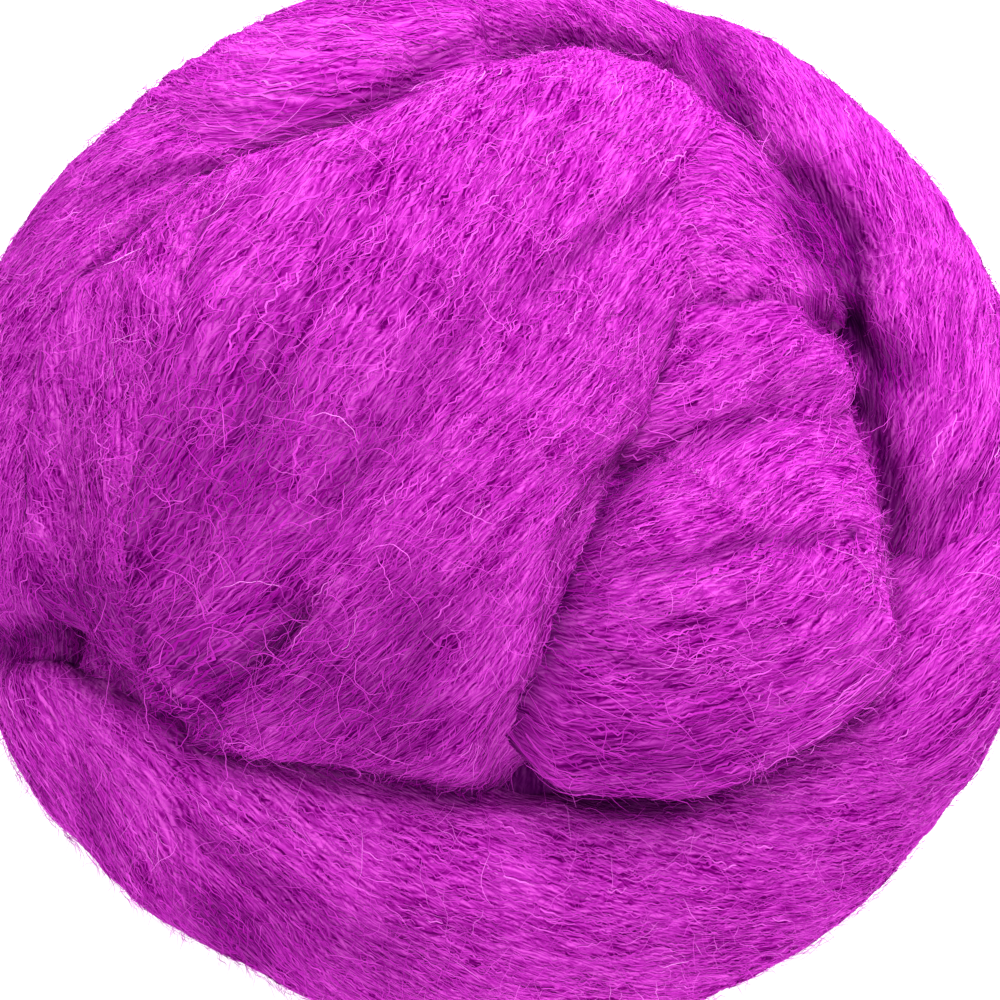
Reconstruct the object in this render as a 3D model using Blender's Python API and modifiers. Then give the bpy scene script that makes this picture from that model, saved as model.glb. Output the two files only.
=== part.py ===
"""Wool roving wound into a round nest, as one solid.

One length of combed roving, about four fingers wide and soft all through, is wound on itself.
Ring turns run round the outside, each on its own tilt, and broad turns cross the middle of the
top and the underside.  The nest rests on a small flat spot at z = 0, with +Z up.

Each turn is a soft flattened tube that lies on one shared envelope, a squashed ball.  A table gives
its run, a row for each section.  All turns and a core are fused into one closed body.
"""
from collections import namedtuple
from math import cos, pi, radians, sin

import bmesh
import bpy
from mathutils import Vector

MM = 0.001

# Envelope of the nest, on which every turn lies
CENTRE_HEIGHT = 43 * MM     # height of the widest level above the flat spot
HALF_WIDTH = 70 * MM
CROWN = 43 * MM             # rise of the envelope above the widest level
BELLY = 45.5 * MM           # drop below it, before the flat spot is taken off
ENVELOPE_FULLNESS = 2.3     # 2 is an ellipse, more gives fuller shoulders
CORE_DEPTH = 12 * MM        # depth of the fused middle below the envelope

# How finely the turns are drawn, and then fused
STEPS_PER_ROW = 6
SIDES = 20
SECTION_FULLNESS = 2.6      # 2 is an ellipse, more is fuller at the edges
FUSE_GRAIN = 2.0 * MM
SMOOTH_PASSES = 4
FACE_SHARE = 0.24           # share of the fused faces that is kept

FLOOR_CUT_DEPTH = 20 * MM
FLOOR_CUT_WIDTH = 200 * MM

# One row for each section of a turn:
#   bearing    degrees round the nest, anticlockwise from +X, seen from above
#   rise       degrees above the widest level, seen from the nest's centre
#   lift       mm that the turn's outer side stands over the envelope
#   width      mm across the turn
#   thickness  mm through the turn
Section = namedtuple("Section", "bearing rise lift width thickness")
Turn = namedtuple("Turn", "name closed sections")

RING_TURNS = [
    Turn("back_ring", True, [
        Section(49, 11, -6, 36, 20),
        Section(64, 6, -1, 44, 22),
        Section(80, 4, 0, 48, 24),
        Section(97, 8, 0, 49, 24),
        Section(108, 14, 0, 50, 24),
        Section(118, 16, 0, 50, 24),
        Section(128, 7, 0, 48, 24),
        Section(139, -4, 0, 47, 24),
        Section(153, -11, 0, 46, 24),
        Section(175, -20, 0, 46, 22),
        Section(210, -27, 0, 48, 22),
        Section(255, -28, -1, 50, 22),
        Section(298, -23, -2, 48, 22),
        Section(338, -14, -5, 44, 20),
        Section(12, -7, -5, 42, 20),
        Section(33, 0, -8, 38, 20),
    ]),
    Turn("right_ring", True, [
        Section(92, -15, -1, 46, 24),
        Section(75, -8, 0, 46, 24),
        Section(61, -1, 1, 46, 24),
        Section(48, 6, 0, 47, 24),
        Section(37, 10, 0, 48, 24),
        Section(24, 11, 0, 48, 24),
        Section(10, 11, 0, 48, 24),
        Section(357, 7, -2, 50, 24),
        Section(345, -1, -7, 50, 22),
        Section(330, -9, -8, 47, 20),
        Section(300, -16, -7, 45, 20),
        Section(255, -23, -7, 45, 20),
        Section(205, -25, -5, 45, 20),
        Section(160, -23, -3, 46, 22),
        Section(122, -19, -2, 46, 24),
    ]),
    Turn("left_ring", False, [
        Section(100, 12, -9, 44, 20),
        Section(115, 13, -3, 48, 22),
        Section(130, 11, -1, 51, 22),
        Section(146, 7, 0, 52, 22),
        Section(166, 3, 1, 51, 22),
        Section(185, 1, 0, 50, 22),
        Section(199, -3, -3, 49, 22),
        Section(215, -10, -12, 42, 18),
    ]),
    Turn("front_ring", True, [
        Section(200, -11, -1, 45, 22),
        Section(209, -1, 0, 46, 24),
        Section(219, 7, 0, 48, 24),
        Section(232, 12, 0, 51, 24),
        Section(250, 13, 0, 50, 24),
        Section(268, 12, 0, 49, 24),
        Section(285, 9, 0, 49, 24),
        Section(303, 6, 0, 49, 24),
        Section(320, 4, 0, 49, 24),
        Section(334, 5, 1, 48, 24),
        Section(347, 2, 1, 48, 24),
        Section(2, -7, 0, 46, 22),
        Section(35, -27, -2, 46, 22),
        Section(90, -34, -2, 48, 22),
        Section(145, -31, -3, 48, 22),
        Section(180, -21, -3, 46, 22),
    ]),
]

TOP_TURNS = [
    Turn("left_lobe", False, [
        Section(112, 34, -14, 16, 14),
        Section(126, 36, -8, 20, 18),
        Section(140, 37, -5, 24, 20),
        Section(155, 36, -2, 27, 20),
        Section(170, 34, -2, 29, 20),
        Section(185, 32, -2, 29, 20),
        Section(200, 29, -3, 27, 20),
        Section(213, 26, -6, 26, 18),
        Section(225, 18, -14, 22, 16),
    ]),
    Turn("valley_lobe", False, [
        Section(30, 74, -10, 24, 18),
        Section(10, 62, -2, 27, 20),
        Section(12, 52, -1, 26, 20),
        Section(14, 42, -2, 23, 20),
        Section(15, 33, -6, 19, 18),
        Section(15, 22, -16, 14, 14),
    ]),
    Turn("upper_lobe", False, [
        Section(78, 66, -10, 24, 16),
        Section(62, 55, -2, 27, 20),
        Section(51, 47, 0, 29, 20),
        Section(42, 41, 0, 29, 20),
        Section(33, 37, -1, 27, 20),
        Section(24, 34, -4, 24, 18),
        Section(16, 27, -13, 18, 16),
    ]),
    Turn("right_lobe", False, [
        Section(250, 58, -10, 32, 18),
        Section(282, 55, -2, 40, 20),
        Section(302, 52, 1, 46, 22),
        Section(318, 49, 2, 46, 24),
        Section(331, 45, 2, 46, 24),
        Section(345, 40, 0, 49, 24),
        Section(353, 31, -6, 46, 22),
        Section(357, 18, -15, 40, 18),
    ]),
    Turn("broad_turn", False, [
        Section(74, 6, -16, 28, 16),
        Section(74, 22, -6, 30, 18),
        Section(73, 35, 0, 40, 20),
        Section(76, 46, 2, 49, 22),
        Section(84, 59, 3, 57, 22),
        Section(107, 72, 3, 64, 22),
        Section(180, 77, 3, 65, 22),
        Section(226, 66, 3, 63, 22),
        Section(241, 55, 2, 61, 22),
        Section(250, 45, 0, 57, 20),
        Section(255, 36, -5, 50, 20),
        Section(257, 22, -16, 38, 16),
    ]),
    Turn("rolled_edge", False, [
        Section(203, 44, -8, 6, 8),
        Section(208, 41, -2, 7, 10),
        Section(215, 38, 0, 7, 11),
        Section(222, 35, 0, 7, 11),
        Section(228, 34, -2, 7, 11),
        Section(234, 34, -9, 6, 8),
    ]),
]

UNDER_TURNS = [
    Turn("under_left", False, [
        Section(108, -22, -18, 40, 20),
        Section(124, -44, -7, 50, 26),
        Section(168, -58, -3, 52, 28),
        Section(212, -48, -6, 50, 26),
        Section(230, -26, -18, 40, 20),
    ]),
    Turn("under_right", False, [
        Section(284, -26, -18, 40, 20),
        Section(306, -46, -7, 50, 26),
        Section(352, -58, -3, 52, 28),
        Section(38, -48, -6, 50, 26),
        Section(60, -26, -18, 40, 20),
    ]),
    Turn("under_middle", False, [
        Section(116, -24, -17, 42, 20),
        Section(122, -48, -4, 50, 24),
        Section(134, -70, 0, 52, 24),
        Section(310, -84, 0, 52, 24),
        Section(318, -62, 0, 50, 24),
        Section(321, -44, -4, 46, 24),
        Section(322, -22, -17, 40, 20),
    ]),
]


def envelope_point(direction, lift):
    """Point of the envelope that lies in this direction from the nest's centre, raised by lift."""
    height = CROWN if direction.z > 0 else BELLY
    level_share = Vector((direction.x, direction.y)).length / HALF_WIDTH
    upright_share = abs(direction.z) / height
    reach = (level_share**ENVELOPE_FULLNESS + upright_share**ENVELOPE_FULLNESS) ** (-1 / ENVELOPE_FULLNESS)
    return Vector((0, 0, CENTRE_HEIGHT)) + direction * (reach + lift)


def section_values(section):
    """Direction of a section, with its lift, width and thickness in metres."""
    bearing = radians(section.bearing)
    rise = radians(section.rise)
    direction = Vector((cos(rise) * cos(bearing), cos(rise) * sin(bearing), sin(rise)))
    return [*direction, section.lift * MM, section.width * MM, section.thickness * MM]


def smooth_between(before, start, end, after, part):
    """Catmull-Rom curve from start to end, with part from 0 to 1."""
    bend = 2 * before - 5 * start + 4 * end - after
    turn = 3 * start - before - 3 * end + after
    return start + 0.5 * part * (end - before + part * (bend + part * turn))


def turn_at(turn, along):
    """Section values at a place along the turn, from 0 to 1."""
    rows = [section_values(section) for section in turn.sections]
    count = len(rows)
    spans = count if turn.closed else count - 1
    place = along * spans
    span = min(int(place), spans - 1)
    part = place - span
    picks = range(span - 1, span + 3)
    if turn.closed:
        near = [rows[pick % count] for pick in picks]
    else:
        near = [rows[min(max(pick, 0), count - 1)] for pick in picks]
    values = [smooth_between(*column, part) for column in zip(*near)]
    return Vector(values[:3]).normalized(), values[3], values[4], values[5]


def rounded(value, fullness):
    """Superellipse side: the sine or cosine of an angle, made fuller."""
    size = abs(value) ** (2 / fullness)
    return size if value > 0 else -size


def turn_surface(turn, around, along):
    """Point on the skin of a turn, with around and along both from 0 to 1."""
    direction, lift, width, thickness = turn_at(turn, along)
    step = 0.002
    ahead = turn_at(turn, (along + step) % 1 if turn.closed else min(along + step, 1))[0]
    behind = turn_at(turn, (along - step) % 1 if turn.closed else max(along - step, 0))[0]
    sideways = direction.cross(ahead - behind).normalized()
    close = 1.0
    if not turn.closed:
        close = min(1.0, 3 * len(turn.sections) * min(along, 1 - along)) ** 0.5
    angle = 2 * pi * around
    across = rounded(cos(angle), SECTION_FULLNESS) * close * width / 2
    outward = (rounded(sin(angle), SECTION_FULLNESS) * close - 1) * thickness / 2
    flat_place = envelope_point(direction, 0) - Vector((0, 0, CENTRE_HEIGHT)) + sideways * across
    return envelope_point(flat_place.normalized(), lift + outward)


def add_turn(mesh, turn):
    """Add a turn to the mesh as one closed tube, rounded off at free ends."""
    steps = STEPS_PER_ROW * len(turn.sections)
    grid = bmesh.ops.create_grid(mesh, x_segments=SIDES, y_segments=steps, size=1.0)["verts"]
    for vertex in grid:
        around = (vertex.co.x + 1) / 2
        along = (vertex.co.y + 1) / 2
        vertex.co = turn_surface(turn, around, along)
    bmesh.ops.remove_doubles(mesh, verts=grid, dist=0.00001)


def add_core(mesh):
    """Add the middle that all turns are wound on, as a squashed ball under the envelope."""
    ball = bmesh.ops.create_uvsphere(mesh, u_segments=48, v_segments=24, radius=1.0)["verts"]
    for vertex in ball:
        vertex.co = envelope_point(vertex.co.normalized(), -CORE_DEPTH)


def wool_material():
    """Dyed combed wool: matt, strong magenta."""
    material = bpy.data.materials.new("dyed_combed_wool")
    material.use_nodes = True
    shader = material.node_tree.nodes["Principled BSDF"]
    shader.inputs["Base Color"].default_value = (0.55, 0.03, 0.50, 1.0)
    shader.inputs["Roughness"].default_value = 0.9
    shader.inputs["Metallic"].default_value = 0.0
    return material


def new_collection(name):
    collection = bpy.data.collections.new(name)
    bpy.context.scene.collection.children.link(collection)
    return collection


def floor_cutter(collection):
    """Block below z = 0, which takes the flat spot off the underside."""
    mesh = bmesh.new()
    bmesh.ops.create_cube(mesh, size=1.0)
    for vertex in mesh.verts:
        vertex.co.x *= FLOOR_CUT_WIDTH
        vertex.co.y *= FLOOR_CUT_WIDTH
        vertex.co.z = (vertex.co.z - 0.5) * FLOOR_CUT_DEPTH
    data = bpy.data.meshes.new("floor_cutter")
    mesh.to_mesh(data)
    mesh.free()
    cutter = bpy.data.objects.new("floor_cutter", data)
    cutter.hide_render = True
    cutter.display_type = "WIRE"
    collection.objects.link(cutter)
    return cutter


def roving_ball(collection, cutter):
    """The whole wound nest: turns and core fused, softened, thinned and cut level below."""
    mesh = bmesh.new()
    add_core(mesh)
    for turn in RING_TURNS + TOP_TURNS + UNDER_TURNS:
        add_turn(mesh, turn)
    bmesh.ops.recalc_face_normals(mesh, faces=mesh.faces)
    data = bpy.data.meshes.new("roving_ball")
    mesh.to_mesh(data)
    mesh.free()
    data.materials.append(wool_material())
    ball = bpy.data.objects.new("roving_ball", data)
    collection.objects.link(ball)

    fuse = ball.modifiers.new("fuse_turns", "REMESH")
    fuse.mode = "VOXEL"
    fuse.voxel_size = FUSE_GRAIN
    soften = ball.modifiers.new("soften", "SMOOTH")
    soften.factor = 0.5
    soften.iterations = SMOOTH_PASSES
    thin = ball.modifiers.new("thin_faces", "DECIMATE")
    thin.ratio = FACE_SHARE
    level = ball.modifiers.new("flat_spot", "BOOLEAN")
    level.operation = "DIFFERENCE"
    level.solver = "EXACT"
    level.object = cutter
    return ball


def main():
    for thing in list(bpy.data.objects):
        bpy.data.objects.remove(thing, do_unlink=True)
    nest = new_collection("wool_roving")
    cutters = new_collection("cutters")
    roving_ball(nest, floor_cutter(cutters))


main()
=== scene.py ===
from math import cos, pi, radians, sin

import bmesh
import bpy
import numpy as np
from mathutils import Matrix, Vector
from mathutils.bvhtree import BVHTree


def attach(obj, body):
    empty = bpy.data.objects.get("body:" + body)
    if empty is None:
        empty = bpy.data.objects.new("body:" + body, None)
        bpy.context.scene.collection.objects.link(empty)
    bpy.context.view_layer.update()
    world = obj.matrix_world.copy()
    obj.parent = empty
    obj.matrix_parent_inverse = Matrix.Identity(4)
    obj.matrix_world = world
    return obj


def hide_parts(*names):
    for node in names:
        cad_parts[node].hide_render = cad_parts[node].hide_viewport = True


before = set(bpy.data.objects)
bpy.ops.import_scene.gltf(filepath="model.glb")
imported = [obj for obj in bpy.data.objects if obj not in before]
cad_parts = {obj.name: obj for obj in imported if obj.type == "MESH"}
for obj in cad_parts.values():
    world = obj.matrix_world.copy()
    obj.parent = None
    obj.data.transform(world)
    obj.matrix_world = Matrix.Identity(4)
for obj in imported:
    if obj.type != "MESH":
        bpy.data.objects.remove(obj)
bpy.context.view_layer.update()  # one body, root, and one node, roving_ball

mm = 0.001
chance = np.random.default_rng(11)
print("frame loaded")

# A nest of combed wool roving. Each turn is a soft flattened tube on one envelope, a squashed ball.
nest = {
    "centre": (0, 0, 43 * mm),
    "halfWidth": 70 * mm,
    "crown": 43 * mm,  # rise of the envelope over its widest level
    "belly": 45.5 * mm,  # drop below it
    "fullness": 2.3,  # 2 is an ellipse, more gives fuller shoulders
    "coreDepth": 12 * mm,
    "sectionFullness": 2.6,
    "outerCell": 1.1 * mm,  # mesh cells on the outer side of a turn, and round its hidden side
    "innerCell": 4.0 * mm,
    "floorSoftness": 0.6 * mm,
}
centre = np.array(nest["centre"])

# A turn's sections are rows of bearing and rise in degrees from the nest's centre, then in mm how
# far its outer side stands over the envelope, its width and its thickness, and last the degrees
# that its fibres turn away from its run at each lean place. Places are shares of the way around
# a turn, where 0 to 0.5 is its outer side, and of the way along it.
usualTurn = {
    "closed": False,
    "patchLength": 22,  # mm along the turn
    "leanPlaces": (0.09, 0.25, 0.41),
    "lockDepth": 0.65,  # mm
    "floorGap": 1.4,  # mm
    "crimp": 0.165,  # mm to each side
    "angleSpread": 8,  # degrees
    "density": 66,  # fibres on a square cm
    "matted": False,
}
turns = []


def addTurn(name, settings, rows):
    turns.append({**usualTurn, **settings, "name": name, "sections": rows})


addTurn("frontRing", {
    "closed": True, "patchLength": 40, "leanPlaces": (0.04, 0.15, 0.26), "lockDepth": 0.7,
    "floorGap": 0.6, "density": 62,
}, [
    (200, -11, -1, 45, 22, 20, 30, 35), (209, -1, 0, 46, 24, 20, 35, 45),
    (219, 7, 0, 48, 24, 10, 45, 60), (232, 12, 0, 51, 24, 0, 20, 45),
    (250, 13, 0, 50, 24, 0, 10, 35), (268, 12, 0, 49, 24, 5, 10, 20),
    (285, 9, 0, 49, 24, 10, 10, 25), (303, 6, 0, 49, 24, 25, 25, 30),
    (320, 4, 0, 49, 24, 20, 35, 45), (334, 5, 1, 48, 24, 15, 30, 35),
    (347, 2, 1, 48, 24, 20, 25, 30), (2, -7, 0, 46, 22, 20, 20, 25),
    (35, -27, -2, 46, 22, 20, 20, 25), (90, -34, -2, 48, 22, 20, 20, 20),
    (145, -31, -3, 48, 22, 20, 20, 25), (180, -21, -3, 46, 22, 20, 25, 25),
])
addTurn("backRing", {
    "closed": True, "patchLength": 40, "leanPlaces": (0.04, 0.12, 0.21), "floorGap": 0.8,
    "density": 60,
}, [
    (49, 11, -6, 36, 20, 10, 15, 25), (64, 6, -1, 44, 22, 10, 15, 25),
    (80, 4, 0, 48, 24, 10, 25, 35), (97, 8, 0, 49, 24, 5, 30, 45),
    (108, 14, 0, 50, 24, 10, 40, 55), (118, 16, 0, 50, 24, 10, 40, 50),
    (128, 7, 0, 48, 24, 10, 20, 30), (139, -4, 0, 47, 24, 20, 25, 30),
    (153, -11, 0, 46, 24, 20, 25, 25), (175, -20, 0, 46, 22, 25, 25, 25),
    (210, -27, 0, 48, 22, 25, 25, 25), (255, -28, -1, 50, 22, 25, 25, 25),
    (298, -23, -2, 48, 22, 25, 25, 25), (338, -14, -5, 44, 20, 25, 25, 25),
    (12, -7, -5, 42, 20, 20, 20, 25), (33, 0, -8, 38, 20, 15, 20, 25),
])
addTurn("rightRing", {
    "closed": True, "patchLength": 40, "leanPlaces": (0.29, 0.38, 0.46), "floorGap": 1.0,
    "crimp": 0.15, "angleSpread": 7, "density": 60,
}, [
    (92, -15, -1, 46, 24, 25, 25, 20), (75, -8, 0, 46, 24, 30, 25, 20),
    (61, -1, 1, 46, 24, 30, 25, 15), (48, 6, 0, 47, 24, 35, 20, 5),
    (37, 10, 0, 48, 24, 35, 20, 5), (24, 11, 0, 48, 24, 40, 20, 0),
    (10, 11, 0, 48, 24, 40, 30, 5), (357, 7, -2, 50, 24, 40, 45, 25),
    (345, -1, -7, 50, 22, 35, 40, 30), (330, -9, -8, 47, 20, 30, 30, 30),
    (300, -16, -7, 45, 20, 30, 25, 25), (255, -23, -7, 45, 20, 25, 25, 25),
    (205, -25, -5, 45, 20, 25, 25, 25), (160, -23, -3, 46, 22, 25, 25, 25),
    (122, -19, -2, 46, 24, 25, 25, 25),
])
addTurn("leftRing", {
    "matted": True, "leanPlaces": (0.04, 0.11, 0.18), "lockDepth": 0.6, "floorGap": 1.2,
    "crimp": 0.22, "angleSpread": 14,
}, [
    (100, 12, -9, 44, 20, 5, 10, 15), (115, 13, -3, 48, 22, 0, 5, 15),
    (130, 11, -1, 51, 22, -5, 5, 25), (146, 7, 0, 52, 22, 0, 10, 25),
    (166, 3, 1, 51, 22, 5, 10, 20), (185, 1, 0, 50, 22, 10, 15, 15),
    (199, -3, -3, 49, 22, 15, 15, 15), (215, -10, -12, 42, 18, 10, 15, 15),
])
addTurn("leftLobe", {
    "matted": True, "leanPlaces": (0.16, 0.25, 0.34), "lockDepth": 0.6, "crimp": 0.24,
    "angleSpread": 20, "density": 72,
}, [
    (112, 34, -14, 16, 14, -15, -15, -15), (126, 36, -8, 20, 18, -15, -15, -15),
    (140, 37, -5, 24, 20, -15, -15, -15), (155, 36, -2, 27, 20, -10, -20, -20),
    (170, 34, -2, 29, 20, -15, -20, -15), (185, 32, -2, 29, 20, -5, -15, -15),
    (200, 29, -3, 27, 20, 0, -15, -25), (213, 26, -6, 26, 18, -10, -25, -30),
    (225, 18, -14, 22, 16, -10, -20, -25),
])
addTurn("valleyLobe", {
    "leanPlaces": (0.14, 0.22, 0.31), "lockDepth": 0.35, "crimp": 0.2, "angleSpread": 12,
    "density": 64,
}, [
    (30, 74, -10, 24, 18, -15, -15, -15), (10, 62, -2, 27, 20, -15, -15, -15),
    (12, 52, -1, 26, 20, -10, -10, -15), (14, 42, -2, 23, 20, -10, -20, -20),
    (15, 33, -6, 19, 18, -15, -15, -20), (15, 22, -16, 14, 14, -15, -15, -20),
])
addTurn("upperLobe", {"leanPlaces": (0.14, 0.28, 0.43), "crimp": 0.2, "angleSpread": 14}, [
    (78, 66, -10, 24, 16, -5, -5, -5), (62, 55, -2, 27, 20, -5, -5, -5),
    (51, 47, 0, 29, 20, -5, -5, -5), (42, 41, 0, 29, 20, 10, 5, -5),
    (33, 37, -1, 27, 20, 10, 0, -15), (24, 34, -4, 24, 18, 5, -10, -20),
    (16, 27, -13, 18, 16, 0, -10, -20),
])
addTurn("rightLobe", {"angleSpread": 9, "density": 64}, [
    (250, 58, -10, 32, 18, 15, 20, 25), (282, 55, -2, 40, 20, 15, 30, 30),
    (302, 52, 1, 46, 22, 0, 15, 5), (318, 49, 2, 46, 24, 0, 0, 10),
    (331, 45, 2, 46, 24, 5, 5, 5), (345, 40, 0, 49, 24, 10, 5, 0),
    (353, 31, -6, 46, 22, 0, 0, 0), (357, 18, -15, 40, 18, 0, 0, 5),
])
addTurn("broadTurn", {}, [
    (74, 6, -16, 28, 16, 25, 20, 15), (74, 22, -6, 30, 18, 25, 20, 15),
    (73, 35, 0, 40, 20, 35, 25, 5), (76, 46, 2, 49, 22, 20, 10, 0),
    (84, 59, 3, 57, 22, 15, 5, -5), (107, 72, 3, 64, 22, 15, 5, 10),
    (180, 77, 3, 65, 22, 20, 15, 10), (226, 66, 3, 63, 22, 20, 30, 20),
    (241, 55, 2, 61, 22, 10, 45, 50), (250, 45, 0, 57, 20, 20, 45, 60),
    (255, 36, -5, 50, 20, 40, 55, 55), (257, 22, -16, 38, 16, 35, 40, 45),
])
addTurn("rolledEdge", {
    "leanPlaces": (0.21, 0.28, 0.34), "lockDepth": 0.15, "angleSpread": 12, "density": 72,
}, [
    (203, 44, -8, 6, 8, -15, -20, -20), (208, 41, -2, 7, 10, -15, -20, -25),
    (215, 38, 0, 7, 11, -15, -20, -25), (222, 35, 0, 7, 11, -15, -15, -20),
    (228, 34, -2, 7, 11, -15, -15, -20), (234, 34, -9, 6, 8, -15, -15, -20),
])
lowTurn = {"lockDepth": 0.35, "floorGap": 0.3, "angleSpread": 9, "density": 30}
addTurn("underLeft", lowTurn, [
    (108, -22, -18, 40, 20), (124, -44, -7, 50, 26), (168, -58, -3, 52, 28),
    (212, -48, -6, 50, 26), (230, -26, -18, 40, 20),
])
addTurn("underRight", lowTurn, [
    (284, -26, -18, 40, 20), (306, -46, -7, 50, 26), (352, -58, -3, 52, 28),
    (38, -48, -6, 50, 26), (60, -26, -18, 40, 20),
])
addTurn("underMiddle", {**lowTurn, "floorGap": 0.0}, [
    (116, -24, -17, 42, 20), (122, -48, -4, 50, 24), (134, -70, 0, 52, 24),
    (310, -84, 0, 52, 24), (318, -62, 0, 50, 24), (321, -44, -4, 46, 24),
    (322, -22, -17, 40, 20),
])


smallShare = 0.002  # steps for finding which way a surface runs
smallStep = 0.8 * mm
tableSteps = 1501


def unit(vectors):
    return vectors / np.maximum(np.linalg.norm(vectors, axis=-1, keepdims=True), 1e-12)


def onEnvelope(direction, lift):
    height = np.where(direction[..., 2] > 0, nest["crown"], nest["belly"])
    full = nest["fullness"]
    level = np.hypot(direction[..., 0], direction[..., 1]) / nest["halfWidth"]
    upright = np.abs(direction[..., 2]) / height
    reach = (level**full + upright**full) ** (-1 / full)
    return centre + direction * (reach + lift)[..., None]


def rounded(value):
    return np.sign(value) * np.abs(value) ** (2 / nest["sectionFullness"])


def spanAt(turn, place):  # which two rows a place lies between, and how far along
    spans = len(turn["sections"]) - (not turn["closed"])
    span = np.minimum((place * spans).astype(int), spans - 1)
    return span, (place * spans - span)[..., None]


def valuesAt(turn, place):  # direction, lift, width and thickness, smooth between rows
    rows = turn["rows"]
    last = len(rows) - 1
    span, part = spanAt(turn, place)
    picks = [span - 1, span, span + 1, span + 2]
    if turn["closed"]:
        before, start, end, after = [rows[pick % (last + 1)] for pick in picks]
    else:
        before, start, end, after = [rows[np.clip(pick, 0, last)] for pick in picks]
    bend = 2 * before - 5 * start + 4 * end - after
    twist = 3 * start - before - 3 * end + after
    values = start + 0.5 * part * (end - before + part * (bend + part * twist))
    return unit(values[..., :3]), values[..., 3], values[..., 4], values[..., 5]


def wrapped(turn, along):
    return along % 1 if turn["closed"] else np.clip(along, 0, 1)


def measureTurn(turn):  # even spacing along the turn and round it, in real lengths
    table = np.array(turn["sections"], float)
    bearing, rise = np.radians(table[:, 0]), np.radians(table[:, 1])
    level = np.cos(rise)
    directions = np.stack([level * np.cos(bearing), level * np.sin(bearing), np.sin(rise)], axis=1)
    turn["rows"] = np.hstack([directions, table[:, 2:5] * mm])
    turn["leans"] = np.radians(table[:, 5:])
    places = np.linspace(0, 1, tableSteps)
    spine = onEnvelope(valuesAt(turn, places)[0], np.zeros(len(places)))
    run = np.concatenate([[0], np.cumsum(np.linalg.norm(np.diff(spine, axis=0), axis=1))])
    turn["length"] = run[-1]
    turn["alongTable"] = run / run[-1], places
    angles = np.linspace(0, 2 * pi, tableSteps)
    width, thickness = turn["rows"][:, 4].mean(), turn["rows"][:, 5].mean()
    loop = [rounded(np.cos(angles)) * width / 2, rounded(np.sin(angles)) * thickness / 2]
    girth = np.concatenate([[0], np.cumsum(np.hypot(*np.diff(loop)))])
    turn["girth"] = girth[-1]
    turn["aroundTable"] = girth / girth[-1], angles


def plainPoint(turn, around, along, rise):
    place = np.interp(wrapped(turn, along), *turn["alongTable"])
    direction, lift, width, thickness = valuesAt(turn, place)
    ahead, behind = wrapped(turn, place + smallShare), wrapped(turn, place - smallShare)
    heading = valuesAt(turn, ahead)[0] - valuesAt(turn, behind)[0]
    sideways = unit(np.cross(direction, heading))
    close = 1.0
    if not turn["closed"]:
        close = np.minimum(1, 3 * len(turn["rows"]) * np.minimum(place, 1 - place)) ** 0.5
    angle = np.interp(around % 1, *turn["aroundTable"])
    across = rounded(np.cos(angle)) * close * (width / 2 + rise)
    outward = rounded(np.sin(angle)) * close * (thickness / 2 + rise) - thickness / 2
    flatPlace = onEnvelope(direction, np.zeros_like(across)) - centre
    flatPlace = flatPlace + sideways * across[..., None]
    return onEnvelope(unit(flatPlace), lift + outward)


def settle(points, gap):  # nothing sinks below the surface that the nest rests on
    soft = nest["floorSoftness"]
    above = points[..., 2] - gap
    points[..., 2] = gap + (above + np.sqrt(above**2 + soft**2)) / 2
    return points


def readRows(turn, along, rows):  # values between a turn's rows, at shares of the way along
    span, part = spanAt(turn, np.interp(wrapped(turn, along), *turn["alongTable"]))
    return rows[span] * (1 - part) + rows[(span + 1) % len(rows)] * part


def nearOuter(around):  # the same place, as a share that the outer side is in
    return (around + 0.25) % 1 - 0.25


def leanAt(turn, around, along):  # radians from the turn's run
    if not turn["leans"].size:
        return np.zeros(np.broadcast(around, along).shape)
    leans = readRows(turn, along, turn["leans"])
    low, _, high = turn["leanPlaces"]
    share = np.clip((nearOuter(around) - low) / (high - low) * 2, 0, 2)
    ends = leans[..., 0] * np.clip(1 - share, 0, 1) + leans[..., 2] * np.clip(share - 1, 0, 1)
    return ends + leans[..., 1] * (1 - np.abs(share - 1))


def setUp(turn, number):
    turn["number"] = number
    turn["facing"] = 1
    measureTurn(turn)
    turn["patches"] = max(1, round(turn["length"] / mm / turn["patchLength"]))
    shares, around = np.linspace(0, 1, 61), np.linspace(0, 0.5, 25)
    loops = plainPoint(turn, around[:, None], shares[None, :], np.zeros((25, 61)))
    girths = np.linalg.norm(np.diff(loops, axis=0), axis=2).sum(axis=0) * 2
    turn["fullness"] = shares, np.clip(girths / turn["girth"], 0.6, 1.8)
    around, along = np.meshgrid([0.2, 0.3], np.linspace(0.3, 0.7, 9), indexing="ij")
    points, outward = outwardAt(turn, around.ravel(), along.ravel())
    if ((points - centre) * outward).sum() < 0:
        turn["facing"] = -1


# The fibres' own grid is laid out in patches along a turn, two sets that fade into each other, so
# that it can lean without being drawn out.
def patchAt(turn, along, shift):
    return np.floor(along * turn["patches"] + shift)


def patchShare(turn, along):  # how much the first set counts, and the second is the rest
    place = along * turn["patches"] % 1
    return 1 - np.abs(2 * place - 1)


def fibreGrid(turn, around, along, patch, shift):
    middle = (patch + 0.5 - shift) / turn["patches"]
    lean = leanAt(turn, around, middle)
    commonLean = leanAt(turn, np.full_like(middle, 0.25), middle)
    forward = (along - middle) * turn["length"]
    across = (around * turn["girth"] - np.tan(lean) * forward) * np.cos(commonLean)
    return across, forward * np.cos(commonLean) + around * turn["girth"] * np.sin(commonLean)


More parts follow.
